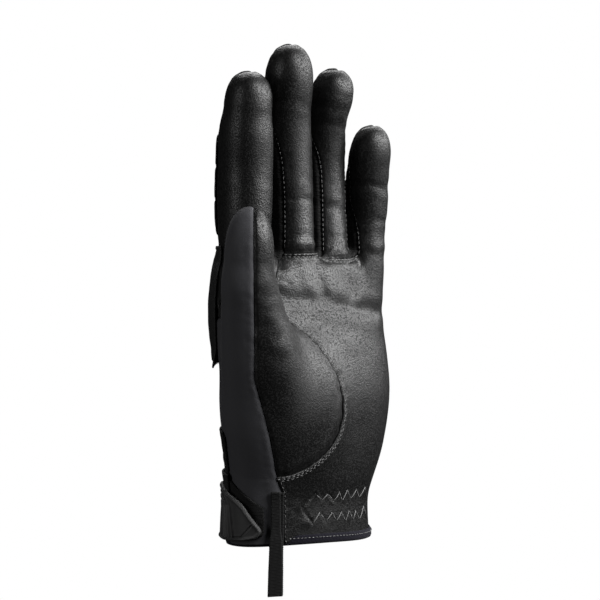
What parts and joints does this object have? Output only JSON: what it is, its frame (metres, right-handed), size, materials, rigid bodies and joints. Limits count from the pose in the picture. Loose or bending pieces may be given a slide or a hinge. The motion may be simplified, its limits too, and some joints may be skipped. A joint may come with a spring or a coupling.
{
  "type": "tactical glove",
  "caption": "Left-hand leather tactical glove in its worn form, with a padded knuckle guard, a strap with a rubber tab and a webbing pull loop at the cuff.",
  "frame": {"origin": "centre of the wrist opening, at the lower edge of the cuff", "axes": "+Z along the fingers, -Y out of the palm, +X towards the little finger"},
  "size_m": [0.1093, 0.0677, 0.2562],
  "materials": {
    "leather": "smooth goat leather, semi-gloss",
    "matte_cloth": "matte synthetic suede",
    "stretch_cloth": "knitted stretch cloth",
    "pad": "padded cloth",
    "guard": "padded cloth over foam",
    "loop_cloth": "brushed loop cloth",
    "strap": "woven strap",
    "rubber": "moulded rubber, matte",
    "binding": "folded bias tape",
    "webbing": "coarse woven webbing"
  },
  "bodies": {
    "root": {"palm": "leather", "index_front": "leather", "middle_front": "leather", "ring_front": "leather", "thumb_front": "leather", "thumb_back": "matte_cloth", "back": "stretch_cloth", "fourchette_index_middle": "stretch_cloth", "fourchette_middle_ring": "stretch_cloth", "fourchette_ring_little": "stretch_cloth", "index_back": "stretch_cloth", "middle_back": "stretch_cloth", "ring_back": "stretch_cloth", "little_back": "stretch_cloth", "index_pad": "pad", "middle_pad": "pad", "ring_pad": "pad", "little_pad": "pad", "knuckle_guard": "guard", "closure_panel": "loop_cloth", "wrist_strap": "strap", "strap_tab": "rubber", "cuff_binding": "binding", "pull_loop": "webbing"}
  },
  "joints": []
}
